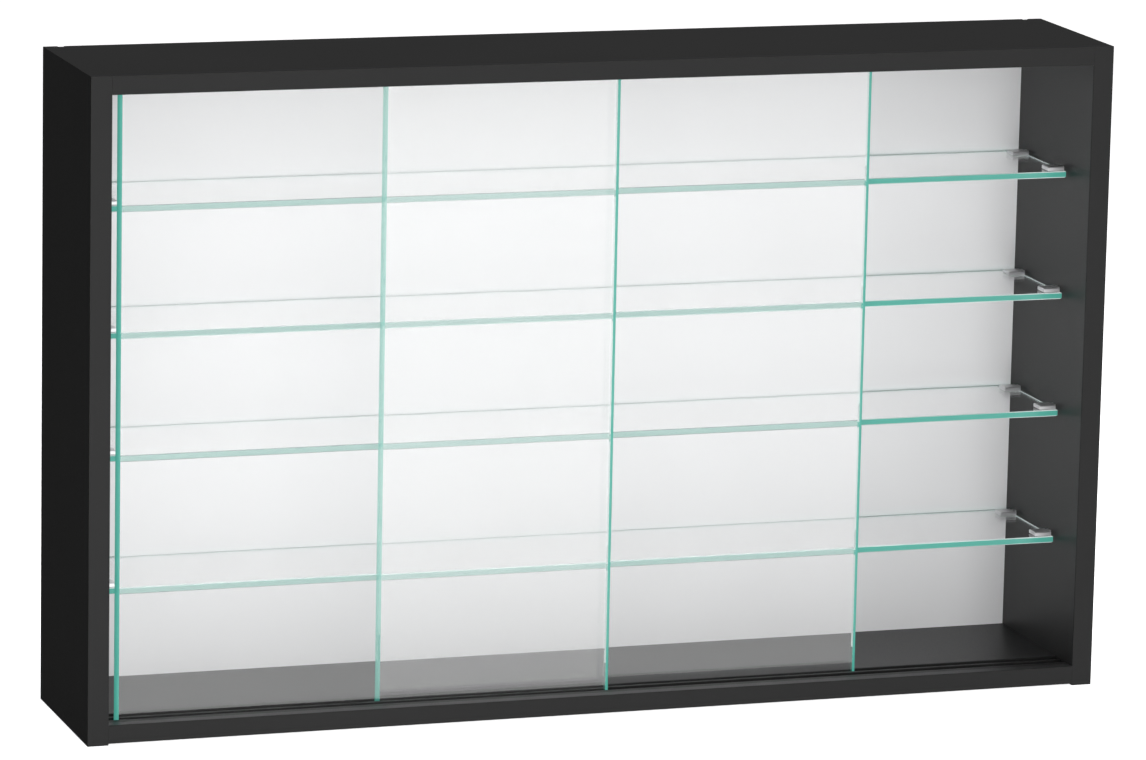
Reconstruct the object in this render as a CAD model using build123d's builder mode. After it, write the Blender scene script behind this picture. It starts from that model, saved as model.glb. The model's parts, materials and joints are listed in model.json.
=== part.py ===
from build123d import *
from math import hypot
import os

# Wall display case. A black laminated carcass with a white back holds four glass
# shelves in metal clips. Two glass doors slide past each other in front of them, in
# channels let into the top and the bottom.
# Lengths are in millimetres. Seen from the front, +X is to the right, +Y goes back
# to the wall and +Z is up. The origin lies on the wall, half way between the round
# holes of the two hangers.

# Carcass boards
case_width = 800
case_height = 500
case_depth = 148
side_board = 16
cross_board = 14
edge_band = 1
edge_round = 0.3
side_drop = 1.2  # how far the sides reach below the bottom panel
back_board = 3
back_seat = 5  # width of the step that the back panel lies in
back_play = 0.4
joint_play = 0.1  # round a dowel, pin or bolt in its bore

# Sliding doors and their channels
door_glass = 6
door_overlap = 5  # when both doors are shut
door_stop = 0.5  # from a shut door to the side
door_arris = 0.6
front_door_open = 8
rear_door_open = 169
sill_lip = 9  # board left in front of the channels
channel_play = 0.5  # each side of the glass
channel_front = 6
channel_rib = 3.6
channel_rear = 1.8
channel_base = 1.5
channel_rim = 0.4
lower_channel = 4
upper_channel = 8.5
runner_bead = 0.7
door_lift = 0.25  # running gap over the bead
top_catch = 3.5  # how far a door reaches up into its upper channel
track_play = 0.1
track_end_play = 0.3

# Glass shelves, heights of the upper faces over the lower ends of the sides
shelf_heights = [109, 209.5, 302, 397]
shelf_glass = 5
shelf_depth = 100
shelf_arris = 0.8
shelf_back_gap = 1.5
shelf_end_play = 0.2

# Shelf clips
clip_reach = 16
clip_width = 13
clip_pad = 2.8
clip_pad_gap = 2.8  # from the side to the pad
clip_lower_jaw = 1
clip_lower_reach = 10
clip_web = 0.8
clip_web_width = 6  # web and lower jaw, at the rear of the pad and so out of sight
clip_bevel = 0.5
clip_liner = 0.4
liner_setback = 0.6
pin_radius = 2.5
pin_length = 8
front_clip_setback = 1.5  # behind the shelf's front edge
rear_clip_setback = 13.5  # ahead of the shelf's rear edge

# Corner joints: cams set in from the front and the rear, dowels between them
cam_front_inset = 46
cam_rear_inset = 30
dowel_from_cam = 20  # towards the middle of the depth
cam_radius = 7.5
cam_height = 11
cam_distance = 24  # from the side to the cam's centre
cam_slot = 1.4
cam_slot_depth = 2.2
cam_slot_length = 9
bolt_bore_radius = 4
bolt_thread_radius = 2.9
bolt_thread = 10
bolt_shank_radius = 2.6
bolt_neck_radius = 1.8
bolt_neck = 5
bolt_head_radius = 3.2
bolt_head = 3.5
dowel_radius = 4
dowel_in_side = 9
dowel_in_board = 19
dowel_chamfer = 0.8

# Brads that hold the back panel
brad_radius = 0.7
brad_length = 16
brad_head_radius = 1.4
brad_head = 0.4
side_brads = 4
cross_brads = 6
brad_margin = 40  # from a corner of the interior to the first brad of a side

# Hangers and wall buffers
hanger_plate = 2
hanger_crank = 3  # room for a screw head behind the keyhole
hanger_width = 50
hanger_height = 41
hanger_flange = 12
hanger_slope = 4
hanger_corner = 4
hanger_cam_gap = 7.5  # from a cam to the hanger's outer edge, seen from the rear
hanger_top_gap = 0.5
keyhole_radius = 5
keyhole_slot_radius = 2.3
keyhole_rise = 10
keyhole_drop = 33  # from the top of the case to the round hole's centre
hanger_screw_pitch = 32
hanger_screw_drop = 5.5
hanger_screw_radius = 1.75
hanger_screw_length = 28
hanger_screw_head_radius = 3.4
hanger_screw_head = 2
hanger_screw_bevel = 0.9
hanger_screw_slot = 0.9
hanger_screw_slot_depth = 1
buffer_radius = 6
buffer_bevel = 1
buffer_height = 22  # centre, over the lower ends of the sides

# Places that follow from the sizes above
half_case = case_width / 2
half_inner = half_case - side_board
inner_width = 2 * half_inner
wall_gap = hanger_crank + hanger_plate
y_back = -wall_gap
y_front = y_back - case_depth
y_board = y_front + edge_band
y_back_face = y_back - back_board
z_top = keyhole_drop
z_base = z_top - case_height
z_underside = z_base + side_drop
z_floor = z_underside + cross_board
z_ceiling = z_top - cross_board

channel_width = door_glass + 2 * channel_play
track_width = channel_front + channel_width + channel_rib + channel_width + channel_rear
y_track = y_front + sill_lip
front_channel_y = y_track + channel_front + channel_width / 2
rear_channel_y = front_channel_y + channel_width + channel_rib
door_width = (inner_width - 2 * door_stop + door_overlap) / 2
door_bottom = z_floor - lower_channel + runner_bead + door_lift
door_height = z_ceiling + top_catch - door_bottom
front_door_x = -half_inner + door_stop + front_door_open + door_width / 2
rear_door_x = half_inner - door_stop - rear_door_open - door_width / 2

shelf_end_gap = clip_web + clip_liner + shelf_end_play
shelf_rear_y = y_back_face - shelf_back_gap
shelf_front_y = shelf_rear_y - shelf_depth
shelf_middles = [z_base + height - shelf_glass / 2 for height in shelf_heights]
clip_ys = [shelf_front_y + front_clip_setback, shelf_rear_y - rear_clip_setback - clip_width]
clip_mouth = shelf_glass / 2 + clip_liner  # half the mouth of a clip
clip_pin_y = clip_width - clip_web_width / 2

joint_levels = [z_underside + cross_board / 2, z_top - cross_board / 2]
cam_ys = [y_front + cam_front_inset, y_back - cam_rear_inset]
dowel_ys = [cam_ys[0] + dowel_from_cam, cam_ys[1] - dowel_from_cam]
half_brad_span_z = (z_ceiling - z_floor) / 2 - brad_margin
z_middle = (z_floor + z_ceiling) / 2
brad_line = (back_seat - back_play) / 2  # from the interior's edge to the brads
hanger_outer_x = half_inner - cam_distance - cam_radius - hanger_cam_gap
hanger_x = hanger_outer_x - hanger_width / 2
half_brad_span_x = (hanger_outer_x + half_inner) / 2
hanger_screw_z = z_top - hanger_screw_drop

# Inner face of the left side: local x runs back, local y runs up
left_wall = Plane(origin=(-half_inner, 0, 0), x_dir=(0, 1, 0), z_dir=(1, 0, 0))
# Rear of the case: local x runs left, local y runs up
rear_face = Plane(origin=(0, y_back, 0), x_dir=(-1, 0, 0), z_dir=(0, 1, 0))

os.makedirs("parts", exist_ok=True)


def spread(count, half_span):
    """Places of a row of brads, evenly spaced about its middle."""
    step = 2 * half_span / (count - 1)
    return [-half_span + step * number for number in range(count)]


left_brad_places = [(half_inner + brad_line, z_middle + z) for z in spread(side_brads, half_brad_span_z)]
right_brad_places = [(-x, z) for x, z in left_brad_places]
floor_brad_places = [(x, z_floor - brad_line) for x in spread(cross_brads, half_brad_span_x)]
ceiling_brad_places = [(x, z_ceiling + brad_line) for x in spread(cross_brads, half_brad_span_x)]

# Left side: a board stepped at the rear for the back panel, bored on its inner face
with BuildPart() as left_side:
    with BuildSketch(Plane.XY.offset(z_base)):
        with Locations((-half_case, y_board)):
            Rectangle(side_board, case_depth - edge_band, align=(Align.MIN, Align.MIN))
        with Locations((-half_inner, y_back)):
            Rectangle(back_seat, back_board, align=(Align.MAX, Align.MAX), mode=Mode.SUBTRACT)
    extrude(amount=case_height)
    with BuildSketch(left_wall):
        clip_pins = [(y + clip_pin_y, z) for y in clip_ys for z in shelf_middles]
        with Locations(*clip_pins):
            Circle(pin_radius + joint_play)
    extrude(amount=-pin_length - joint_play, mode=Mode.SUBTRACT)
    with BuildSketch(left_wall):
        with Locations(*[(y, z) for y in cam_ys for z in joint_levels]):
            Circle(bolt_thread_radius + joint_play)
    extrude(amount=-bolt_thread - joint_play, mode=Mode.SUBTRACT)
    with BuildSketch(left_wall):
        with Locations(*[(y, z) for y in dowel_ys for z in joint_levels]):
            Circle(dowel_radius + joint_play)
    extrude(amount=-dowel_in_side - joint_play, mode=Mode.SUBTRACT)
    with BuildSketch(rear_face.offset(-back_board)):
        with Locations(*left_brad_places):
            Circle(brad_radius + joint_play)
    extrude(amount=-brad_length, mode=Mode.SUBTRACT)
left_side.part.label = "left_side"
export_step(left_side.part, "parts/left_side.step")

# Right side: the left one mirrored
with BuildPart() as right_side:
    mirror(left_side.part, about=Plane.YZ)
right_side.part.label = "right_side"
export_step(right_side.part, "parts/right_side.step")

# Top panel: recessed from below for the upper track, stepped for the back panel
with BuildPart() as top_panel:
    with BuildSketch(Plane.YZ.offset(-half_inner)):
        with Locations((y_board, z_ceiling)):
            Rectangle(case_depth - edge_band, cross_board, align=(Align.MIN, Align.MIN))
        with Locations((y_track, z_ceiling)):
            Rectangle(track_width + 2 * track_play, channel_base + upper_channel,
                      align=(Align.MIN, Align.MIN), mode=Mode.SUBTRACT)
        with Locations((y_back, z_ceiling)):
            Rectangle(back_board, back_seat, align=(Align.MAX, Align.MIN), mode=Mode.SUBTRACT)
    extrude(amount=inner_width)
    cam_spots = [(x, y) for x in (cam_distance - half_inner, half_inner - cam_distance) for y in cam_ys]
    with BuildSketch(Plane.XY.offset(z_ceiling)):
        with Locations(*cam_spots):
            Circle(cam_radius + joint_play)
    extrude(amount=cam_height + joint_play, mode=Mode.SUBTRACT)
    with BuildSketch(left_wall):
        with Locations(*[(y, z_top - cross_board / 2) for y in cam_ys]):
            Circle(bolt_bore_radius)
    extrude(amount=cam_distance, mode=Mode.SUBTRACT)
    with BuildSketch(left_wall):
        with Locations(*[(y, z_top - cross_board / 2) for y in dowel_ys]):
            Circle(dowel_radius + joint_play)
    extrude(amount=dowel_in_board + joint_play, mode=Mode.SUBTRACT)
    split(bisect_by=Plane.YZ, keep=Keep.BOTTOM)
    mirror(about=Plane.YZ)
    with BuildSketch(rear_face.offset(-back_board)):
        with Locations(*ceiling_brad_places):
            Circle(brad_radius + joint_play)
    extrude(amount=-brad_length, mode=Mode.SUBTRACT)
    hanger_screws = [(x + dx, hanger_screw_z) for x in (-hanger_x, hanger_x)
                     for dx in (-hanger_screw_pitch / 2, hanger_screw_pitch / 2)]
    with BuildSketch(rear_face):
        with Locations(*hanger_screws):
            Circle(hanger_screw_radius + joint_play)
    extrude(amount=-hanger_screw_length, mode=Mode.SUBTRACT)
top_panel.part.label = "top_panel"
export_step(top_panel.part, "parts/top_panel.step")

# Bottom panel: recessed from above for the lower track, cams in its underside
with BuildPart() as bottom_panel:
    with BuildSketch(Plane.YZ.offset(-half_inner)):
        with Locations((y_board, z_underside)):
            Rectangle(case_depth - edge_band, cross_board, align=(Align.MIN, Align.MIN))
        with Locations((y_track, z_floor)):
            Rectangle(track_width + 2 * track_play, channel_base + lower_channel,
                      align=(Align.MIN, Align.MAX), mode=Mode.SUBTRACT)
        with Locations((y_back, z_floor)):
            Rectangle(back_board, back_seat, align=(Align.MAX, Align.MAX), mode=Mode.SUBTRACT)
    extrude(amount=inner_width)
    with BuildSketch(Plane.XY.offset(z_underside)):
        with Locations(*cam_spots):
            Circle(cam_radius + joint_play)
    extrude(amount=cam_height + joint_play, mode=Mode.SUBTRACT)
    with BuildSketch(left_wall):
        with Locations(*[(y, z_underside + cross_board / 2) for y in cam_ys]):
            Circle(bolt_bore_radius)
    extrude(amount=cam_distance, mode=Mode.SUBTRACT)
    with BuildSketch(left_wall):
        with Locations(*[(y, z_underside + cross_board / 2) for y in dowel_ys]):
            Circle(dowel_radius + joint_play)
    extrude(amount=dowel_in_board + joint_play, mode=Mode.SUBTRACT)
    split(bisect_by=Plane.YZ, keep=Keep.BOTTOM)
    mirror(about=Plane.YZ)
    with BuildSketch(rear_face.offset(-back_board)):
        with Locations(*floor_brad_places):
            Circle(brad_radius + joint_play)
    extrude(amount=-brad_length, mode=Mode.SUBTRACT)
bottom_panel.part.label = "bottom_panel"
export_step(bottom_panel.part, "parts/bottom_panel.step")

# Edge bands along the front of the four boards, with softened outer edges
with BuildPart() as left_band:
    with BuildSketch(Plane.XY.offset(z_base)):
        with Locations((-half_case, y_front)):
            Rectangle(side_board, edge_band, align=(Align.MIN, Align.MIN))
    extrude(amount=case_height)
    fillet(left_band.edges().filter_by(Axis.Z).group_by(Axis.Y)[0], edge_round)
left_band.part.label = "left_band"
export_step(left_band.part, "parts/left_band.step")

with BuildPart() as right_band:
    mirror(left_band.part, about=Plane.YZ)
right_band.part.label = "right_band"
export_step(right_band.part, "parts/right_band.step")

with BuildPart() as top_band:
    with BuildSketch(Plane.YZ.offset(-half_inner)):
        with Locations((y_front, z_ceiling)):
            Rectangle(edge_band, cross_board, align=(Align.MIN, Align.MIN))
    extrude(amount=inner_width)
    fillet(top_band.edges().filter_by(Axis.X).group_by(Axis.Y)[0], edge_round)
top_band.part.label = "top_band"
export_step(top_band.part, "parts/top_band.step")

with BuildPart() as bottom_band:
    with BuildSketch(Plane.YZ.offset(-half_inner)):
        with Locations((y_front, z_underside)):
            Rectangle(edge_band, cross_board, align=(Align.MIN, Align.MIN))
    extrude(amount=inner_width)
    fillet(bottom_band.edges().filter_by(Axis.X).group_by(Axis.Y)[0], edge_round)
bottom_band.part.label = "bottom_band"
export_step(bottom_band.part, "parts/bottom_band.step")

# Back panel in the step all round
with BuildPart() as back_panel:
    with BuildSketch(rear_face.offset(-back_board)):
        with Locations((0, z_middle)):
            panel_rim = 2 * (back_seat - back_play)
            Rectangle(inner_width + panel_rim, z_ceiling - z_floor + panel_rim)
    extrude(amount=back_board)
    with BuildSketch(rear_face):
        with Locations(*left_brad_places, *right_brad_places, *floor_brad_places, *ceiling_brad_places):
            Circle(brad_radius + joint_play)
    extrude(amount=-back_board, mode=Mode.SUBTRACT)
back_panel.part.label = "back_panel"
export_step(back_panel.part, "parts/back_panel.step")

# One brad, its head on the back panel and its shank pointing forward
with BuildPart() as brad:
    with BuildSketch(rear_face):
        Circle(brad_head_radius)
    extrude(amount=brad_head)
    with BuildSketch(rear_face):
        Circle(brad_radius)
    extrude(amount=-brad_length)
with BuildPart() as back_brads:
    for x, z in left_brad_places + right_brad_places + floor_brad_places + ceiling_brad_places:
        with Locations((-x, 0, z)):
            add(brad.part)
back_brads.part.label = "back_brads"
export_step(back_brads.part, "parts/back_brads.step")


def channels(depth):
    """Section of a double track, open upward, its rims level with the local x axis."""
    with BuildSketch() as section:
        with Locations((track_play, 0)):
            Rectangle(track_width, channel_base + depth, align=(Align.MIN, Align.MAX))
        for middle in (front_channel_y - y_track, rear_channel_y - y_track):
            with Locations((middle + track_play, 0)):
                Rectangle(channel_width, depth, align=(Align.CENTER, Align.MAX), mode=Mode.SUBTRACT)
        rims = section.vertices().group_by(Axis.Y)[-1]
        fillet(rims, channel_rim)
        for middle in (front_channel_y - y_track, rear_channel_y - y_track):
            with Locations((middle + track_play, -depth)):
                Circle(runner_bead)
    return section.sketch


# Lower track: two shallow channels, each with a bead that the glass runs on
with BuildPart() as lower_track:
    with BuildSketch(Plane(origin=(-half_inner + track_end_play, y_track, z_floor),
                           x_dir=(0, 1, 0), z_dir=(1, 0, 0))):
        add(channels(lower_channel))
    extrude(amount=inner_width - 2 * track_end_play)
lower_track.part.label = "lower_track"
export_step(lower_track.part, "parts/lower_track.step")

# Upper track: the same section, deeper, so that a door lifts out of the lower one
with BuildPart() as upper_track:
    with BuildSketch(Plane(origin=(half_inner - track_end_play, y_track, z_ceiling),
                           x_dir=(0, 1, 0), z_dir=(-1, 0, 0))):
        add(channels(upper_channel))
    extrude(amount=inner_width - 2 * track_end_play)
upper_track.part.label = "upper_track"
export_step(upper_track.part, "parts/upper_track.step")

# Doors: panes with half-round upright edges
with BuildPart() as front_door:
    with BuildSketch(Plane.XY.offset(door_bottom)):
        with Locations((front_door_x, front_channel_y)):
            SlotOverall(door_width, door_glass)
    extrude(amount=door_height)
    chamfer(front_door.faces().filter_by(Axis.Z).edges(), door_arris)
front_door.part.label = "front_door"
export_step(front_door.part, "parts/front_door.step")

with BuildPart() as rear_door:
    with BuildSketch(Plane.XY.offset(door_bottom)):
        with Locations((rear_door_x, rear_channel_y)):
            SlotOverall(door_width, door_glass)
    extrude(amount=door_height)
    chamfer(rear_door.faces().filter_by(Axis.Z).edges(), door_arris)
rear_door.part.label = "rear_door"
export_step(rear_door.part, "parts/rear_door.step")

# One clip for the left side: a cast pad over the shelf's end, and a narrower web down
# the board with a jaw under the glass and a pin in the board. The clip's front lies at
# y = 0 and the middle of the glass at z = 0.
with BuildPart() as clip:
    with BuildSketch(Plane.XZ):
        with Locations((clip_pad_gap, clip_mouth)):
            Rectangle(clip_reach - clip_pad_gap, clip_pad, align=(Align.MIN, Align.MIN))
    extrude(amount=-clip_width)
    chamfer(clip.faces().sort_by(Axis.Z)[-1].edges(), clip_bevel)
    with BuildSketch(Plane.XZ.offset(-clip_width)):
        with Locations((0, -clip_mouth)):
            Rectangle(clip_web, 2 * clip_mouth, align=(Align.MIN, Align.MIN))
            Rectangle(clip_lower_reach, clip_lower_jaw, align=(Align.MIN, Align.MAX))
        with Locations((0, clip_mouth)):
            Rectangle(clip_pad_gap + clip_bevel, clip_pad - clip_bevel, align=(Align.MIN, Align.MIN))
    extrude(amount=clip_web_width)
    with BuildSketch(Plane.YZ):
        with Locations((clip_pin_y, 0)):
            Circle(pin_radius)
    extrude(amount=-pin_length)

# The clear liner between the clip and the glass
with BuildPart() as liner:
    with BuildSketch(Plane.XZ.offset(-liner_setback)):
        with Locations((clip_pad_gap, shelf_glass / 2)):
            Rectangle(clip_reach - clip_pad_gap - liner_setback, clip_liner, align=(Align.MIN, Align.MIN))
    extrude(amount=-(clip_width - 2 * liner_setback))
    with BuildSketch(Plane.XZ.offset(liner_setback - clip_width)):
        with Locations((clip_web, -shelf_glass / 2)):
            Rectangle(clip_liner, shelf_glass, align=(Align.MIN, Align.MIN))
            Rectangle(clip_lower_reach - clip_web - liner_setback, clip_liner, align=(Align.MIN, Align.MAX))
        with Locations((clip_web, shelf_glass / 2)):
            Rectangle(clip_pad_gap - clip_web, clip_liner, align=(Align.MIN, Align.MIN))
    extrude(amount=clip_web_width - 2 * liner_setback)

# Four shelves, each with four clips and their liners, numbered from the lowest
for number, middle in enumerate(shelf_middles, start=1):
    with BuildPart() as shelf:
        with BuildSketch(Plane.XY.offset(middle - shelf_glass / 2)):
            with Locations((0, shelf_front_y)):
                Rectangle(inner_width - 2 * shelf_end_gap, shelf_depth, align=(Align.CENTER, Align.MIN))
        extrude(amount=shelf_glass)
        chamfer(shelf.edges(), shelf_arris)
    shelf.part.label = f"shelf_{number}"
    export_step(shelf.part, f"parts/shelf_{number}.step")

    clip_spots = [(-half_inner, y, middle) for y in clip_ys]
    with BuildPart() as shelf_clips:
        with Locations(*clip_spots):
            add(clip.part)
        mirror(about=Plane.YZ)
    shelf_clips.part.label = f"shelf_{number}_clips"
    export_step(shelf_clips.part, f"parts/shelf_{number}_clips.step")

    with BuildPart() as clip_liners:
        with Locations(*clip_spots):
            add(liner.part)
        mirror(about=Plane.YZ)
    clip_liners.part.label = f"shelf_{number}_liners"
    export_step(clip_liners.part, f"parts/shelf_{number}_liners.step")

# One cam bolt, turned about the x axis, screwed into the side at x = 0
with BuildPart() as cam_bolt:
    with BuildSketch(Plane.XZ):
        head_start = cam_distance - bolt_head / 2
        with BuildLine():
            Polyline((-bolt_thread, 0),
                     (-bolt_thread, bolt_thread_radius),
                     (0, bolt_thread_radius),
                     (0, bolt_shank_radius),
                     (head_start - bolt_neck, bolt_shank_radius),
                     (head_start - bolt_neck, bolt_neck_radius),
                     (head_start, bolt_neck_radius),
                     (head_start, bolt_head_radius),
                     (head_start + bolt_head, bolt_head_radius),
                     (head_start + bolt_head, 0),
                     close=True)
        make_face()
    revolve(axis=Axis.X)
with BuildPart() as cam_bolts:
    with Locations(*[(-half_inner, y, z) for y in cam_ys for z in joint_levels]):
        add(cam_bolt.part)
    mirror(about=Plane.YZ)
cam_bolts.part.label = "cam_bolts"
export_step(cam_bolts.part, "parts/cam_bolts.step")

# One cam, its slotted face down at z = 0, hollow towards the bolt's head
with BuildPart() as cam:
    Cylinder(cam_radius, cam_height, align=(Align.CENTER, Align.CENTER, Align.MIN))
    with BuildSketch(Plane.YZ.offset(-cam_radius)):
        with Locations((0, cross_board / 2)):
            Circle(bolt_bore_radius - joint_play)
    extrude(amount=cam_radius + bolt_bore_radius, mode=Mode.SUBTRACT)
    with BuildSketch(Plane.XY):
        Rectangle(cam_slot_length, cam_slot)
        Rectangle(cam_slot, cam_slot_length)
    extrude(amount=cam_slot_depth, mode=Mode.SUBTRACT)
with BuildPart() as cams:
    with Locations(*[(cam_distance - half_inner, y, z) for y in cam_ys for z in (z_underside, z_ceiling)]):
        add(cam.part)
    mirror(about=Plane.YZ)
cams.part.label = "cams"
export_step(cams.part, "parts/cams.step")

# Dowels across the corner joints
with BuildPart() as dowel:
    with BuildSketch(Plane.YZ.offset(-dowel_in_side)):
        Circle(dowel_radius)
    extrude(amount=dowel_in_side + dowel_in_board)
    chamfer(dowel.faces().filter_by(Axis.X).edges(), dowel_chamfer)
with BuildPart() as dowels:
    with Locations(*[(-half_inner, y, z) for y in dowel_ys for z in joint_levels]):
        add(dowel.part)
    mirror(about=Plane.YZ)
dowels.part.label = "dowels"
export_step(dowels.part, "parts/dowels.step")

# Left hanger: a cranked steel plate. Its flange is screwed to the top panel and its
# lower part stands off the back panel, with a keyhole that drops over a wall screw.
hanger_top = z_top - hanger_top_gap
bend_top = hanger_top - hanger_flange
bend_drop = hanger_plate * (hypot(hanger_crank, hanger_slope) - hanger_slope) / hanger_crank
with BuildPart() as left_hanger:
    with BuildSketch(Plane.YZ.offset(-hanger_x - hanger_width / 2)):
        with BuildLine():
            Polyline((y_back, hanger_top),
                     (y_back + hanger_plate, hanger_top),
                     (y_back + hanger_plate, bend_top),
                     (0, bend_top - hanger_slope),
                     (0, hanger_top - hanger_height),
                     (-hanger_plate, hanger_top - hanger_height),
                     (-hanger_plate, bend_top - hanger_slope - bend_drop),
                     (y_back, bend_top - bend_drop),
                     close=True)
        make_face()
    extrude(amount=hanger_width)
    corners = left_hanger.edges().filter_by(Axis.Y).group_by(Axis.Z)
    fillet(corners[0] + corners[-1], hanger_corner)
    with BuildSketch(Plane.XZ):
        with Locations((-hanger_x, 0)):
            Circle(keyhole_radius)
            Rectangle(2 * keyhole_slot_radius, keyhole_rise, align=(Align.CENTER, Align.MIN))
        with Locations((-hanger_x, keyhole_rise)):
            Circle(keyhole_slot_radius)
    extrude(amount=hanger_plate, both=True, mode=Mode.SUBTRACT)
    with BuildSketch(rear_face):
        with Locations((hanger_x - hanger_screw_pitch / 2, hanger_screw_z),
                       (hanger_x + hanger_screw_pitch / 2, hanger_screw_z)):
            Circle(hanger_screw_radius + joint_play)
    extrude(amount=hanger_plate, mode=Mode.SUBTRACT)
left_hanger.part.label = "left_hanger"
export_step(left_hanger.part, "parts/left_hanger.step")

with BuildPart() as right_hanger:
    mirror(left_hanger.part, about=Plane.YZ)
right_hanger.part.label = "right_hanger"
export_step(right_hanger.part, "parts/right_hanger.step")

# Slotted pan-head screws through the hangers into the top panel
with BuildPart() as hanger_screw:
    with BuildSketch(rear_face.offset(hanger_plate)):
        Circle(hanger_screw_head_radius)
    extrude(amount=hanger_screw_head)
    chamfer(hanger_screw.edges().sort_by(Axis.Y)[-1], hanger_screw_bevel)
    with BuildSketch(rear_face.offset(hanger_plate + hanger_screw_head)):
        Rectangle(2 * hanger_screw_head_radius, hanger_screw_slot)
    extrude(amount=-hanger_screw_slot_depth, mode=Mode.SUBTRACT)
    with BuildSketch(rear_face.offset(hanger_plate)):
        Circle(hanger_screw_radius)
    extrude(amount=-hanger_screw_length)
with BuildPart() as hanger_screws_group:
    for x, z in hanger_screws:
        with Locations((-x, 0, z)):
            add(hanger_screw.part)
hanger_screws_group.part.label = "hanger_screws"
export_step(hanger_screws_group.part, "parts/hanger_screws.step")

# Rubber buffers that keep the lower end of the case off the wall by as much
with BuildPart() as buffer:
    with BuildSketch(rear_face):
        with Locations((half_case - side_board / 2, z_base + buffer_height)):
            Circle(buffer_radius)
    extrude(amount=wall_gap)
    chamfer(buffer.edges().sort_by(Axis.Y)[-1], buffer_bevel)
with BuildPart() as wall_buffers:
    add(buffer.part)
    mirror(about=Plane.YZ)
wall_buffers.part.label = "wall_buffers"
export_step(wall_buffers.part, "parts/wall_buffers.step")

print("door", door_width, "by", door_height, "thick", door_glass)
print("front door travels", -front_door_open, "to", inner_width - 2 * door_stop - door_width - front_door_open)
print("rear door travels", rear_door_open + door_width + 2 * door_stop - inner_width, "to", rear_door_open)
print("shelf", inner_width - 2 * shelf_end_gap, "by", shelf_depth)
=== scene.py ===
# %% [markdown]
# # A wall display case with sliding glass doors
#
# This lesson dresses a black wall case for small collections. It is a shallow box of
# laminated board with a white back. Four glass shelves stand in metal clips, and two glass
# doors slide past each other in front of them. The solid model comes first and stays as it
# is. The lesson adds glass that looks ground and polished, finishes with real grain, and
# light that suits dark boards and clear glass.

# %% Load the solid model
import json
import math

import bmesh
import bpy
from mathutils import Matrix, Vector


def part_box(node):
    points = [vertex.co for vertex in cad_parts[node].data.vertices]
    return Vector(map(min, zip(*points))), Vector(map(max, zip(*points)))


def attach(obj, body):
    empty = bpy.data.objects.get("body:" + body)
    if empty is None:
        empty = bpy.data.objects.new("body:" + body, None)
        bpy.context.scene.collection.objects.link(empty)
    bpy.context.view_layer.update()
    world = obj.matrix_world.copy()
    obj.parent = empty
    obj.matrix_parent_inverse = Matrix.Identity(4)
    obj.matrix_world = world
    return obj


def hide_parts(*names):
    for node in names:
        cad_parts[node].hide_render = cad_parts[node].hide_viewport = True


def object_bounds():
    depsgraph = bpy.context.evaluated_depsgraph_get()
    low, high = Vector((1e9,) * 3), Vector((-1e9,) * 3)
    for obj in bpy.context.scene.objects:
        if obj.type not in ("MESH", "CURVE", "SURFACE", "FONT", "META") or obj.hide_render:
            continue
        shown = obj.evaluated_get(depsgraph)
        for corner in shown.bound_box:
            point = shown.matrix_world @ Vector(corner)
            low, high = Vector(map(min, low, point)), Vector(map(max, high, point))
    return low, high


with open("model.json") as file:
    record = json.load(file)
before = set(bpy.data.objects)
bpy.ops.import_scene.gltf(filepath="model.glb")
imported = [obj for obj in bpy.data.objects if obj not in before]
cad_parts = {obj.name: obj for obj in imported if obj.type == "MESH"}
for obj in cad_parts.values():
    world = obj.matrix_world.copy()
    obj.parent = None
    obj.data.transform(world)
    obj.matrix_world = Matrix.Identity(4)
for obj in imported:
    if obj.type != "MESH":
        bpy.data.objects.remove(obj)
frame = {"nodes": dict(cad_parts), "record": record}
solid_low, solid_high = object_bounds()
nodes = frame["nodes"]
print("solid model:", len(nodes), "nodes,", [round(v, 4) for v in solid_high - solid_low], "m")

# %% [markdown]
# ## Units and small helpers
#
# Blender counts in metres, while a cabinet maker counts in millimetres, so sizes below are
# written as millimetres times MM. Shader trees repeat the same few moves: add a node, set
# its values, join two sockets. A helper for each keeps the recipes short enough to read.

# %% Helpers for shader trees
MM = 0.001


def add_node(tree, kind, label, **values):
    """Adds a node, names it and fills its unlinked inputs by name."""
    node = tree.nodes.new(kind)
    node.label = label
    for name, value in values.items():
        node.inputs[name.replace("_", " ")].default_value = value
    return node


def new_material(name):
    """An empty material with one Principled shader joined to its output."""
    material = bpy.data.materials.new(name)
    material.use_nodes = True
    tree = material.node_tree
    tree.nodes.clear()
    output = add_node(tree, "ShaderNodeOutputMaterial", "output")
    shader = add_node(tree, "ShaderNodeBsdfPrincipled", name)
    tree.links.new(shader.outputs["BSDF"], output.inputs["Surface"])
    return material, tree, shader, output


def blend_colours(tree, label, factor, dark, light):
    """A Mix node that goes from the dark colour to the light one with the factor."""
    mix = tree.nodes.new("ShaderNodeMix")
    mix.data_type = "RGBA"
    mix.label = label
    mix.inputs["A"].default_value = (*dark, 1)
    mix.inputs["B"].default_value = (*light, 1)
    tree.links.new(factor, mix.inputs["Factor"])
    return mix.outputs["Result"]


def spread_values(tree, label, factor, low, high):
    """Stretches a mask from 0..1 to low..high."""
    stretch = add_node(tree, "ShaderNodeMapRange", label, To_Min=low, To_Max=high)
    tree.links.new(factor, stretch.inputs["Value"])
    return stretch.outputs["Result"]


print("helpers ready, 1 mm is", MM, "m")

# %% [markdown]
# ## Shared surface effects
#
# Three effects turn up on several materials here. Pressed laminate and moulded parts have a
# fine pearl that breaks up the gloss. Drawn, extruded and brushed parts have streaks along
# one direction. Large plain areas are never quite even, so a slow cloud shifts their tone.
# Each effect is a node group with named sockets, built once and used with other values.

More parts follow.
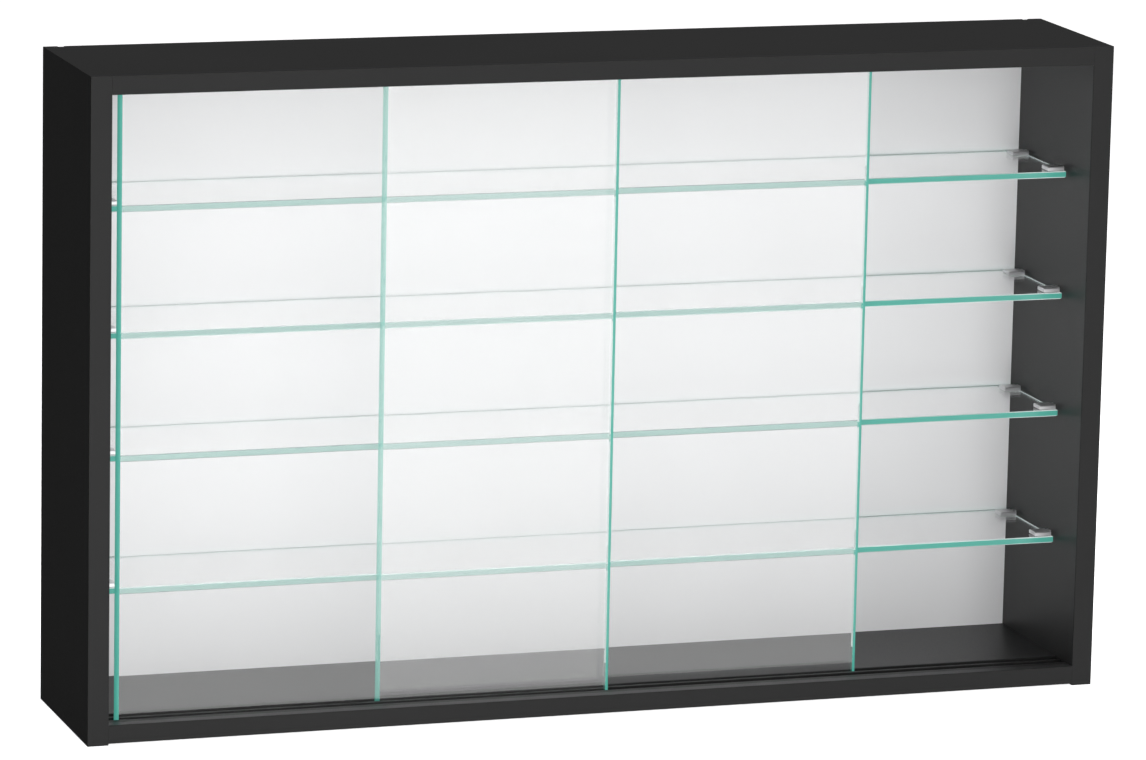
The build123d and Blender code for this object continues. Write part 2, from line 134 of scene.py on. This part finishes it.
# %% Node group: fine pearl and slow cloud
def pearl_group():
    """Height and tone of a pressed, pearled surface."""
    group = bpy.data.node_groups.new("pearl", "ShaderNodeTree")
    face = group.interface
    for name, value in (("Pearl Size", 0.0009), ("Cloud Size", 0.12)):
        socket = face.new_socket(name, in_out="INPUT", socket_type="NodeSocketFloat")
        socket.default_value = value
    for name in ("Height", "Cloud"):
        face.new_socket(name, in_out="OUTPUT", socket_type="NodeSocketFloat")
    inside = group.nodes.new("NodeGroupInput")
    outside = group.nodes.new("NodeGroupOutput")
    place = group.nodes.new("ShaderNodeTexCoord")
    for size, output, detail in (("Pearl Size", "Height", 3.0), ("Cloud Size", "Cloud", 5.0)):
        scale = add_node(group, "ShaderNodeMath", f"one over {size}")
        scale.operation = "DIVIDE"
        scale.inputs[0].default_value = 1.0
        group.links.new(inside.outputs[size], scale.inputs[1])
        noise = add_node(group, "ShaderNodeTexNoise", output, Detail=detail, Roughness=0.55)
        group.links.new(place.outputs["Object"], noise.inputs["Vector"])
        group.links.new(scale.outputs["Value"], noise.inputs["Scale"])
        group.links.new(noise.outputs["Fac"], outside.inputs[output])
    return group


PEARL = pearl_group()
print("group:", PEARL.name, [s.name for s in PEARL.interface.items_tree])


# %% Node group: streaks along one direction
def streak_group():
    """Fine lines on drawn or brushed parts. Fineness is lines to the metre along each axis."""
    group = bpy.data.node_groups.new("streaks", "ShaderNodeTree")
    face = group.interface
    fineness = face.new_socket("Fineness", in_out="INPUT", socket_type="NodeSocketVector")
    fineness.default_value = (20, 2500, 2500)
    face.new_socket("Streaks", in_out="OUTPUT", socket_type="NodeSocketFloat")
    inside = group.nodes.new("NodeGroupInput")
    outside = group.nodes.new("NodeGroupOutput")
    place = group.nodes.new("ShaderNodeTexCoord")
    stretch = group.nodes.new("ShaderNodeVectorMath")
    stretch.operation = "MULTIPLY"
    noise = add_node(group, "ShaderNodeTexNoise", "streaks", Scale=1.0, Detail=3.0, Roughness=0.6)
    group.links.new(place.outputs["Object"], stretch.inputs[0])
    group.links.new(inside.outputs["Fineness"], stretch.inputs[1])
    group.links.new(stretch.outputs["Vector"], noise.inputs["Vector"])
    group.links.new(noise.outputs["Fac"], outside.inputs["Streaks"])
    return group


STREAKS = streak_group()
print("group:", STREAKS.name, [s.name for s in STREAKS.interface.items_tree])


# %% Ways to use the groups
def use_group(tree, group, **values):
    """Places a node group and sets its inputs."""
    node = tree.nodes.new("ShaderNodeGroup")
    node.node_tree = group
    node.label = group.name
    for name, value in values.items():
        node.inputs[name.replace("_", " ")].default_value = value
    return node


def raise_surface(tree, shader, height, depth):
    """Joins a height to the shader's normal. depth is the relief's real height in metres."""
    bump = add_node(tree, "ShaderNodeBump", "relief", Strength=1.0, Distance=depth)
    tree.links.new(height, bump.inputs["Height"])
    tree.links.new(bump.outputs["Normal"], shader.inputs["Normal"])


# %% [markdown]
# ## Board finishes
#
# The boards are pressed with black melamine: a dark colour with little sheen and a pearl
# about a millimetre across. The edge band is a strip of plastic in the same black; its colour
# is set about twice as light as the board's, painted light for the front of the frame. It is
# smoother and shines a little more. The back is a thin white lacquered board. All three come
# from one recipe with other values.

# %% Black laminate, edge band and white back
def coated_board(name, dark, light, gloss, pearl, relief, cloud=0.14, shine=0.5):
    """Melamine, plastic band or lacquer: a pearled coat with an uneven tone."""
    material, tree, shader, _ = new_material(name)
    shader.inputs["Specular IOR Level"].default_value = shine
    coat = use_group(tree, PEARL, Pearl_Size=pearl, Cloud_Size=cloud)
    tone = blend_colours(tree, "tone", coat.outputs["Cloud"], dark, light)
    tree.links.new(tone, shader.inputs["Base Color"])
    rough = spread_values(tree, "gloss", coat.outputs["Height"], *gloss)
    tree.links.new(rough, shader.inputs["Roughness"])
    raise_surface(tree, shader, coat.outputs["Height"], relief)
    return material


BOARD = coated_board("black_laminate", (0.0090, 0.0090, 0.0090), (0.0116, 0.0116, 0.0116),
                     gloss=(0.36, 0.50), pearl=1.1 * MM, relief=0.02 * MM, shine=0.34)
# The band is about twice as light as the board: painted light on the front of the frame.
BAND = coated_board("edge_band", (0.0172, 0.0172, 0.0172), (0.0205, 0.0205, 0.0205),
                    gloss=(0.40, 0.50), pearl=0.6 * MM, relief=0.01 * MM, shine=0.08)
BACK = coated_board("white_lacquer", (0.80, 0.80, 0.81), (0.84, 0.84, 0.85),
                    gloss=(0.45, 0.55), pearl=1.6 * MM, relief=0.015 * MM)
print("board finishes:", BOARD.name, BAND.name, BACK.name)

# %% [markdown]
# ## Plastic and rubber
#
# The channels that the doors run in are extruded, so die lines run along them. The buffers
# behind the case are moulded rubber, dull and slightly dusty.

# %% Extruded track, moulded rubber, clear liner
def extruded_plastic(name, dark, light, gloss, shine):
    """Plastic with die lines along X."""
    material, tree, shader, _ = new_material(name)
    shader.inputs["Specular IOR Level"].default_value = shine
    lines = use_group(tree, STREAKS, Fineness=(8, 1800, 1800))
    tone = blend_colours(tree, "tone", lines.outputs["Streaks"], dark, light)
    tree.links.new(tone, shader.inputs["Base Color"])
    rough = spread_values(tree, "gloss", lines.outputs["Streaks"], *gloss)
    tree.links.new(rough, shader.inputs["Roughness"])
    raise_surface(tree, shader, lines.outputs["Streaks"], 0.01 * MM)
    return material


TRACK = extruded_plastic("extruded_track", (0.0065, 0.0065, 0.0065), (0.0100, 0.0100, 0.0100),
                         gloss=(0.40, 0.52), shine=0.16)
RUBBER = coated_board("moulded_rubber", (0.016, 0.016, 0.016), (0.030, 0.029, 0.028),
                      gloss=(0.72, 0.88), pearl=0.5 * MM, relief=0.04 * MM, cloud=0.01)
LINER = coated_board("clear_liner", (0.62, 0.66, 0.66), (0.70, 0.74, 0.74),
                     gloss=(0.18, 0.28), pearl=0.8 * MM, relief=0.005 * MM, cloud=0.01)
LINER.node_tree.nodes["Principled BSDF"].inputs["Alpha"].default_value = 0.55
print("plastics:", TRACK.name, RUBBER.name, LINER.name)

# %% [markdown]
# ## Metals
#
# The clips are cast zinc with a satin nickel plate: bright, but blurred by a fine brushing
# along their reach. Screws, bolts and brads are drawn wire. The hangers are sheet steel with
# zinc on it, whose crystals make patches of other brightness.

# %% Satin clips, drawn steel, zinc plated sheet
def brushed_metal(name, dark, light, gloss, fineness, relief):
    """Metal with fine lines that blur its shine."""
    material, tree, shader, _ = new_material(name)
    shader.inputs["Metallic"].default_value = 1.0
    lines = use_group(tree, STREAKS, Fineness=fineness)
    tone = blend_colours(tree, "tone", lines.outputs["Streaks"], dark, light)
    tree.links.new(tone, shader.inputs["Base Color"])
    rough = spread_values(tree, "gloss", lines.outputs["Streaks"], *gloss)
    tree.links.new(rough, shader.inputs["Roughness"])
    raise_surface(tree, shader, lines.outputs["Streaks"], relief)
    return material


def zinc_sheet(name):
    """Plated sheet steel, with crystals a few millimetres across."""
    material, tree, shader, _ = new_material(name)
    shader.inputs["Metallic"].default_value = 1.0
    place = tree.nodes.new("ShaderNodeTexCoord")
    crystals = add_node(tree, "ShaderNodeTexVoronoi", "crystals", Scale=260.0)
    tree.links.new(place.outputs["Object"], crystals.inputs["Vector"])
    split = tree.nodes.new("ShaderNodeSeparateColor")
    tree.links.new(crystals.outputs["Color"], split.inputs["Color"])
    tone = blend_colours(tree, "tone", split.outputs["Red"],
                         (0.42, 0.43, 0.45), (0.62, 0.63, 0.65))
    tree.links.new(tone, shader.inputs["Base Color"])
    rough = spread_values(tree, "gloss", split.outputs["Green"], 0.28, 0.46)
    tree.links.new(rough, shader.inputs["Roughness"])
    return material


CLIP = brushed_metal("satin_nickel", (0.72, 0.72, 0.73), (0.80, 0.80, 0.81),
                     gloss=(0.36, 0.46), fineness=(120, 3200, 3200), relief=0.0012 * MM)
WIRE = brushed_metal("drawn_steel", (0.46, 0.46, 0.48), (0.60, 0.60, 0.62),
                     gloss=(0.30, 0.45), fineness=(2600, 200, 2600), relief=0.004 * MM)
CAST = brushed_metal("cast_zinc", (0.40, 0.41, 0.43), (0.52, 0.53, 0.55),
                     gloss=(0.40, 0.55), fineness=(900, 900, 900), relief=0.01 * MM)
ZINC = zinc_sheet("zinc_sheet")
print("metals:", CLIP.name, WIRE.name, CAST.name, ZINC.name)

# %% [markdown]
# ## Beech
#
# The dowels sit unseen in the corner joints, but they are wood all the same, with rays and
# pores along their length.

# %% Beech for the dowels
def beech_wood(name):
    """Pale beech with its grain along X."""
    material, tree, shader, _ = new_material(name)
    grain = use_group(tree, STREAKS, Fineness=(90, 1500, 1500))
    tone = blend_colours(tree, "tone", grain.outputs["Streaks"],
                         (0.40, 0.24, 0.12), (0.62, 0.43, 0.26))
    tree.links.new(tone, shader.inputs["Base Color"])
    rough = spread_values(tree, "gloss", grain.outputs["Streaks"], 0.55, 0.75)
    tree.links.new(rough, shader.inputs["Roughness"])
    raise_surface(tree, shader, grain.outputs["Streaks"], 0.03 * MM)
    return material


BEECH = beech_wood("beech")
print("wood:", BEECH.name)

# %% [markdown]
# ## Glass
#
# Float glass is almost colourless through its thickness and vivid sea green along it, because
# light that leaves by an edge has run through much more of it. Tracing that colour as a
# volume takes very many light paths, so here that light is painted by where one looks: large
# faces are clear, ground edges glow green through Emission as painted light, and the small
# bevels between them are frosted, with a faint painted glow. A shelf's ends are frosted too,
# and are painted whitish with a stronger glow, a painted highlight for the light they catch.
#
# The clear glass lets lamps and scattered light straight through, or the case would be dark
# inside: a Light Path node swaps in a Transparent shader for those rays. Light Path also
# counts the glass surfaces that a ray has passed. From two on, the edge lies behind another
# pane and is painted paler, a painted veil for the reflection in the pane in front. The far
# side of an edge shows through its own pane as well. Backfacing finds it, and it gets a tone
# and an Alpha of its own: a door's far side hardly shows, while a shelf's rear edge is a fine
# grey line.

# %% Clear faces, ground edges, frosted bevels
def clear_glass(name):
    """Clear faces: sharp Principled glass that doesn't shade what is behind it."""
    material, tree, shader, output = new_material(name)
    shader.inputs["Roughness"].default_value = 0.0
    shader.inputs["IOR"].default_value = 1.52
    shader.inputs["Transmission Weight"].default_value = 1.0
    film = use_group(tree, PEARL, Pearl_Size=40 * MM, Cloud_Size=0.25)
    tint = blend_colours(tree, "tint", film.outputs["Cloud"],
                         (0.964, 0.965, 0.964), (0.972, 0.973, 0.972))
    tree.links.new(tint, shader.inputs["Base Color"])
    path = tree.nodes.new("ShaderNodeLightPath")
    either = add_node(tree, "ShaderNodeMath", "lamp or scattered light")
    either.operation = "MAXIMUM"
    tree.links.new(path.outputs["Is Shadow Ray"], either.inputs[0])
    tree.links.new(path.outputs["Is Diffuse Ray"], either.inputs[1])
    through = add_node(tree, "ShaderNodeBsdfTransparent", "straight through",
                       Color=(0.970, 0.972, 0.972, 1))
    swap = tree.nodes.new("ShaderNodeMixShader")
    tree.links.new(either.outputs["Value"], swap.inputs["Fac"])
    tree.links.new(shader.outputs["BSDF"], swap.inputs[1])
    tree.links.new(through.outputs["BSDF"], swap.inputs[2])
    tree.links.new(swap.outputs["Shader"], output.inputs["Surface"])
    return material


def ground_edge(name, dark, light, pale, inside, cover, inside_cover, glow, shine=0.25):
    """Edges: tone and cover for near and far side; the tone also glows, as painted light. Covers are
    for direct and behind a pane.
    """
    material, tree, shader, _ = new_material(name)
    grind = use_group(tree, STREAKS, Fineness=(60, 60, 1200))
    path = tree.nodes.new("ShaderNodeLightPath")
    behind = add_node(tree, "ShaderNodeMapRange", "behind a pane", From_Min=1, From_Max=2)
    tree.links.new(path.outputs["Transmission Depth"], behind.inputs["Value"])
    side = tree.nodes.new("ShaderNodeNewGeometry")
    green = blend_colours(tree, "sea green", grind.outputs["Streaks"], dark, light)
    # Painted veil: behind another pane the edge's tone is painted paler.
    near = blend_colours(tree, "paler behind a pane", behind.outputs["Result"], dark, pale)
    tree.links.new(green, near.node.inputs["A"])
    tone = blend_colours(tree, "far side", side.outputs["Backfacing"], dark, inside)
    tree.links.new(near, tone.node.inputs["A"])
    tree.links.new(tone, shader.inputs["Base Color"])
    # Painted glow: the tone is also the Emission colour, painted light for what the pane gathers.
    tree.links.new(tone, shader.inputs["Emission Color"])
    shader.inputs["Emission Strength"].default_value = glow
    shader.inputs["Specular IOR Level"].default_value = shine
    rough = spread_values(tree, "polish", grind.outputs["Streaks"], 0.08, 0.20)
    tree.links.new(rough, shader.inputs["Roughness"])
    alpha = tree.nodes.new("ShaderNodeMix")
    alpha.label = "near side or far side"
    tree.links.new(side.outputs["Backfacing"], alpha.inputs["Factor"])
    for socket, limits in (("A", cover), ("B", inside_cover)):
        covering = spread_values(tree, "cover", behind.outputs["Result"], *limits)
        tree.links.new(covering, alpha.inputs[socket])
    tree.links.new(alpha.outputs["Result"], shader.inputs["Alpha"])
    return material


CLEAR = clear_glass("clear_glass")
# Edge greens glow through Emission as painted light; PALE_GREEN is a painted veil for an edge behind a
# pane.
DARK_GREEN, LIGHT_GREEN = (0.030, 0.148, 0.120), (0.034, 0.162, 0.132)
PALE_GREEN = (0.122, 0.196, 0.180)
DEEP_GREY = (0.020, 0.028, 0.028)
MATT_GREEN, MATT_PALE = (0.52, 0.66, 0.64), (0.60, 0.74, 0.72)
# Shelf ends: frosted grey, painted lighter as a painted highlight for the light they catch.
FROSTED_AND_LIT_GREY, FROSTED_AND_LIT_WHITE = (0.60, 0.63, 0.63), (0.66, 0.69, 0.69)
DOOR_EDGE = ground_edge("door_edge", DARK_GREEN, LIGHT_GREEN, pale=LIGHT_GREEN, inside=LIGHT_GREEN,
                        cover=(0.98, 0.66), inside_cover=(0.18, 0.18), glow=1.6)
SHELF_EDGE = ground_edge("shelf_edge", DARK_GREEN, LIGHT_GREEN, pale=PALE_GREEN, inside=DEEP_GREY,
                         cover=(0.98, 0.94), inside_cover=(0.95, 0.50), glow=1.4)
BEVEL = ground_edge("glass_bevel", MATT_GREEN, MATT_PALE, pale=MATT_GREEN, inside=MATT_GREEN,
                    cover=(0.62, 0.30), inside_cover=(0.80, 0.80), glow=0.35)
# The shelf ends' whitish tone and glow are a painted highlight on frosted glass.
SHELF_END = ground_edge("shelf_end", FROSTED_AND_LIT_GREY, FROSTED_AND_LIT_WHITE, pale=FROSTED_AND_LIT_GREY, inside=FROSTED_AND_LIT_GREY,
                        cover=(0.80, 0.40), inside_cover=(0.90, 0.90), glow=0.70)
print("glass:", CLEAR.name, DOOR_EDGE.name, SHELF_EDGE.name, BEVEL.name, SHELF_END.name)

# %% [markdown]
# ## Panes
#
# The solid model has each pane as one closed body. The lesson builds the same shape again,
# because faces, edges and bevels need materials of their own. A pane is a stack of outlines:
# small at the bottom, full size above the bevel, full size below the upper bevel and small
# again at the top. A door's outline is a long slot with half-round ends. A shelf's outline is
# a plain rectangle whose corners are bevelled too.

# %% Build a pane from a stack of outlines
FACE, GROUND, FROSTED, END = range(4)
GLASS_BEVEL = 0.6 * MM


def slot_outline(low, high, inset, steps=16):
    """Long slot round a box's middle, seen from above. Points go round against the clock."""
    radius = (high.y - low.y) / 2
    middle = (high.y + low.y) / 2
    points = []
    for centre, start in ((high.x - radius, -0.5), (low.x + radius, 0.5)):
        for step in range(steps + 1):
            angle = math.pi * (start + step / steps)
            reach = radius - inset
            points.append((centre + reach * math.cos(angle), middle + reach * math.sin(angle)))
    return points


def corner_outline(low, high, inset, corner):
    """Rectangle with cut corners, seen from above. Points go round against the clock."""
    x0, y0, x1, y1 = low.x + inset, low.y + inset, high.x - inset, high.y - inset
    return [(x0 + corner, y0), (x1 - corner, y0), (x1, y0 + corner), (x1, y1 - corner),
            (x1 - corner, y1), (x0 + corner, y1), (x0, y1 - corner), (x0, y0 + corner)]


def pane_levels(low, high, bevel):
    """Heights of a pane's four outlines, each with how far it is drawn in."""
    return ((low.z, bevel), (low.z + bevel, 0), (high.z - bevel, 0), (high.z, bevel))


def stack_outlines(name, outline, levels, kind_of_wall, kind_of_cap, materials):
    """Joins outlines at their levels into a closed pane and sorts its faces by kind."""
    mesh = bpy.data.meshes.new(name)
    pane = bmesh.new()
    rings = []
    for level, inset in levels:
        rings.append([pane.verts.new((x, y, level)) for x, y in outline(inset)])
    count = len(rings[0])
    for storey in range(len(rings) - 1):
        lower, upper = rings[storey], rings[storey + 1]
        for place in range(count):
            after = (place + 1) % count
            corners = (lower[place], lower[after], upper[after], upper[place])
            face = pane.faces.new(corners)
            face.material_index = kind_of_wall(storey, face)
    for cap in (pane.faces.new(reversed(rings[0])), pane.faces.new(rings[-1])):
        cap.material_index = kind_of_cap
    pane.normal_update()
    pane.to_mesh(mesh)
    pane.free()
    for material in materials:
        mesh.materials.append(material)
    body = bpy.data.objects.new(name, mesh)
    bpy.context.scene.collection.objects.link(body)
    return body


sample_slot = slot_outline(Vector((0, 0, 0)), Vector((1, 6 * MM, 1)), 0)
print("a door's outline has", len(sample_slot), "points")


# %% The two doors
def build_door(node):
    """A door pane: clear faces, half-round upright edges, frosted bevels at top and bottom."""
    low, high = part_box(node)

    def kind_of_wall(storey, face):
        if storey != 1:
            return FROSTED
        face.normal_update()
        return FACE if abs(face.normal.y) > 0.9999 else GROUND

    levels = pane_levels(low, high, GLASS_BEVEL)
    pane = stack_outlines(f"{node}_glass", lambda inset: slot_outline(low, high, inset),
                          levels, kind_of_wall, GROUND, (CLEAR, DOOR_EDGE, BEVEL))
    pane.data.shade_smooth()
    pane.data.set_sharp_from_angle(angle=math.radians(25))
    even = pane.modifiers.new("flat_faces_stay_flat", "WEIGHTED_NORMAL")
    even.mode = "FACE_AREA"
    even.weight = 100
    even.keep_sharp = True
    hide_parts(node)
    return pane


doors = {}
for door_name in ("front_door", "rear_door"):
    doors[door_name] = build_door(door_name)
    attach(doors[door_name], door_name)
    print(door_name, "faces:", len(doors[door_name].data.polygons))


# %% The four shelves
def build_shelf(node):
    """A shelf pane: clear top and underside, green edges, frosted ends and bevels."""
    low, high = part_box(node)

    def kind_of_wall(storey, face):
        face.normal_update()
        if abs(face.normal.z) > 0.01:
            return FROSTED
        return GROUND if abs(face.normal.y) > 0.5 else END

    levels = pane_levels(low, high, GLASS_BEVEL)
    pane = stack_outlines(f"{node}_glass", lambda inset: corner_outline(low, high, inset, GLASS_BEVEL),
                          levels, kind_of_wall, FACE, (CLEAR, SHELF_EDGE, BEVEL, SHELF_END))
    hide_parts(node)
    return pane


shelf_nodes = sorted(n for n in nodes if n.startswith("shelf_") and n[6:].isdigit())
for shelf_name in shelf_nodes:
    shelf = build_shelf(shelf_name)
    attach(shelf, "case")

# %% [markdown]
# ## Dress the solid model
#
# Every other piece of the solid model already has its true shape, so it only needs its
# finish. The record names a finish slot for each node, and a table from slot to material
# dresses them all.

# %% Give each node its finish
FINISHES = {
    "board_black": BOARD, "edge_black": BAND, "back_white": BACK, "track_black": TRACK,
    "clip_metal": CLIP, "liner_clear": LINER, "cam_zinc": CAST, "bolt_steel": WIRE,
    "dowel_beech": BEECH, "hanger_steel": ZINC, "screw_steel": WIRE, "brad_steel": WIRE,
    "buffer_rubber": RUBBER,
}
slot_of_node = {part["node"]: part["material_slot"] for part in frame["record"]["subparts"]}
for node_name, body in nodes.items():
    finish = FINISHES.get(slot_of_node[node_name])
    if finish is None:
        continue
    for material_slot in body.material_slots:
        material_slot.material = finish
print("dressed:", sum(slot_of_node[n] in FINISHES for n in nodes), "of", len(nodes), "nodes")

# %% [markdown]
# ## Stage
#
# A plain white floor runs far out in every direction, so that no edge of it shows. The case
# stands on the lower ends of its sides, as the photograph shows it. The floor glows, so that
# it is as white as the surround. It glows less for dull surfaces, since a floor that bright
# would light the case from below.

# %% Floor
FLOOR_WHITE, FLOOR_BOUNCE = 0.85, 0.36
FLOOR_REACH = 30.0
FLOOR_GAP = 0.2 * MM


def lay_floor(level, reach):
    """A pale floor, slightly uneven in tone."""
    mesh = bpy.data.meshes.new("studio_floor")
    corners = [(x * reach, y * reach, level) for x, y in ((-1, -1), (1, -1), (1, 1), (-1, 1))]
    mesh.from_pydata(corners, [], [(0, 1, 2, 3)])
    floor = bpy.data.objects.new("studio_floor", mesh)
    bpy.context.scene.collection.objects.link(floor)
    paint = coated_board("pale_floor", (0.84, 0.84, 0.84), (0.87, 0.87, 0.87),
                         gloss=(0.7, 0.8), pearl=4 * MM, relief=0.02 * MM, cloud=1.5)
    tree = paint.node_tree
    shader = tree.nodes["Principled BSDF"]
    shader.inputs["Emission Color"].default_value = (1, 1, 1, 1)
    path = tree.nodes.new("ShaderNodeLightPath")
    glow = spread_values(tree, "less for the case than for the eye",
                         path.outputs["Is Diffuse Ray"], FLOOR_WHITE, FLOOR_BOUNCE)
    tree.links.new(glow, shader.inputs["Emission Strength"])
    mesh.materials.append(paint)
    return floor


studio_floor = lay_floor(solid_low.z - FLOOR_GAP, FLOOR_REACH)
studio_floor.visible_glossy = False
print("floor at", round(solid_low.z - FLOOR_GAP, 4), "m")

# %% [markdown]
# ## Light
#
# Dark boards show whatever they mirror, and glass shows little else. A large key lamp in
# front lights the white back. Its height sets how far the top panel shades it. A small near
# lamp, low on the left, lifts the lower part and the left of the frame. A top lamp gives the
# top panel its tone. The world is a plain white surround for the eye and gives dull surfaces
# nothing. For shiny ones it is bright in front and dark in the rear, which keeps the black
# panels black and lays a pale veil on the glass doors.

# %% Lamps
def soft_lamp(name, place, target, size, power):
    """A square soft lamp that points at its target."""
    light = bpy.data.lights.new(name, "AREA")
    light.shape = "SQUARE"
    light.size = size
    light.energy = power
    lamp = bpy.data.objects.new(name, light)
    aim = (Vector(target) - Vector(place)).to_track_quat("-Z", "Y")
    lamp.matrix_world = Matrix.Translation(place) @ aim.to_matrix().to_4x4()
    lamp.visible_camera = lamp.visible_glossy = lamp.visible_transmission = False
    bpy.context.scene.collection.objects.link(lamp)
    return lamp


centre = (solid_low + solid_high) / 2
key_lamp = soft_lamp("key_lamp", (0.15, -3.1, 0.95), centre, 2.0, 42)
near_lamp = soft_lamp("near_lamp", (-0.42, -1.1, -0.35), (0.30, 0, -0.44), 0.5, 5.4)
top_lamp = soft_lamp("top_lamp", (0.2, 0.3, 2.6), centre, 2.0, 86)
print("lamps:", key_lamp.name, near_lamp.name, top_lamp.name)


# %% World
def build_world(white, left, front, overhead, rear):
    """White for the eye, nothing for dull surfaces, bright front and dark rear for shiny ones."""
    world = bpy.data.worlds.new("studio")
    world.use_nodes = True
    tree = world.node_tree
    tree.nodes.clear()
    output = tree.nodes.new("ShaderNodeOutputWorld")
    light = tree.nodes.new("ShaderNodeBackground")
    tree.links.new(light.outputs["Background"], output.inputs["Surface"])
    direction = tree.nodes.new("ShaderNodeTexCoord")
    split = tree.nodes.new("ShaderNodeSeparateXYZ")
    tree.links.new(direction.outputs["Generated"], split.inputs["Vector"])
    height = add_node(tree, "ShaderNodeMapRange", "low to overhead",
                      From_Min=0.10, From_Max=0.60, To_Min=front, To_Max=overhead)
    height.interpolation_type = "SMOOTHSTEP"
    tree.links.new(split.outputs["Z"], height.inputs["Value"])
    facing = add_node(tree, "ShaderNodeMapRange", "rear to front",
                      From_Min=0.35, From_Max=-0.55, To_Min=rear)
    facing.interpolation_type = "SMOOTHSTEP"
    tree.links.new(split.outputs["Y"], facing.inputs["Value"])
    tree.links.new(height.outputs["Result"], facing.inputs["To Max"])
    path = tree.nodes.new("ShaderNodeLightPath")
    for_dull = add_node(tree, "ShaderNodeMix", "dull or shiny", B=0)
    tree.links.new(path.outputs["Is Diffuse Ray"], for_dull.inputs["Factor"])
    tree.links.new(facing.outputs["Result"], for_dull.inputs["A"])
    shade = add_node(tree, "ShaderNodeMapRange", "darker from the left",
                     From_Min=-0.9, From_Max=0.2, To_Min=left)
    shade.interpolation_type = "SMOOTHSTEP"
    tree.links.new(split.outputs["X"], shade.inputs["Value"])
    shaded = add_node(tree, "ShaderNodeMath", "shaded")
    shaded.operation = "MULTIPLY"
    tree.links.new(for_dull.outputs["Result"], shaded.inputs[0])
    tree.links.new(shade.outputs["Result"], shaded.inputs[1])
    turned = add_node(tree, "ShaderNodeMath", "bounces that were not through glass")
    turned.operation = "SUBTRACT"
    tree.links.new(path.outputs["Ray Depth"], turned.inputs[0])
    tree.links.new(path.outputs["Transmission Depth"], turned.inputs[1])
    seen = add_node(tree, "ShaderNodeMath", "straight from the eye")
    seen.operation = "LESS_THAN"
    seen.inputs[1].default_value = 0.5
    tree.links.new(turned.outputs["Value"], seen.inputs[0])
    for_eye = add_node(tree, "ShaderNodeMix", "the eye", B=white)
    tree.links.new(seen.outputs["Value"], for_eye.inputs["Factor"])
    tree.links.new(shaded.outputs["Value"], for_eye.inputs["A"])
    tree.links.new(for_eye.outputs["Result"], light.inputs["Strength"])
    bpy.context.scene.world = world
    return world


build_world(white=1.0, left=0.05, front=2.8, overhead=2.4, rear=0.085)
bpy.context.scene.view_settings.view_transform = "Standard"
bpy.context.scene.cycles.transparent_max_bounces = 32
print("world:", bpy.context.scene.world.name)

# %% [markdown]
# ## Camera
#
# The place, aim and tilt of the camera were worked out from the case's corners in the
# photograph. It is a long lens far away, a little above the case and to its left.

# %% Camera
CAMERA_PLACE = Vector((-1.5243, -4.6503, 0.7559))
CAMERA_AIM = Vector((-0.0284, -0.1530, -0.2071))
CAMERA_TILT = math.radians(1.174)
FOCAL_LENGTH = 203.2


def set_camera(place, aim, tilt, focal_length):
    """Points the camera at its aim, with its right side raised by the tilt."""
    lens = bpy.data.cameras.new("photo_camera")
    lens.sensor_width = 36
    lens.lens = focal_length
    lens.clip_start, lens.clip_end = 0.1, 100
    camera = bpy.data.objects.new("photo_camera", lens)
    forward = (aim - place).normalized()
    level = forward.cross(Vector((0, 0, 1))).normalized()
    upright = level.cross(forward)
    right = level * math.cos(tilt) + upright * math.sin(tilt)
    up = upright * math.cos(tilt) - level * math.sin(tilt)
    turn = Matrix((right, up, -forward)).transposed()
    camera.matrix_world = Matrix.Translation(place) @ turn.to_4x4()
    bpy.context.scene.collection.objects.link(camera)
    bpy.context.scene.camera = camera
    return camera


photo_camera = set_camera(CAMERA_PLACE, CAMERA_AIM, CAMERA_TILT, FOCAL_LENGTH)
print(photo_camera.name, round((CAMERA_AIM - CAMERA_PLACE).length, 3), "m from the case")
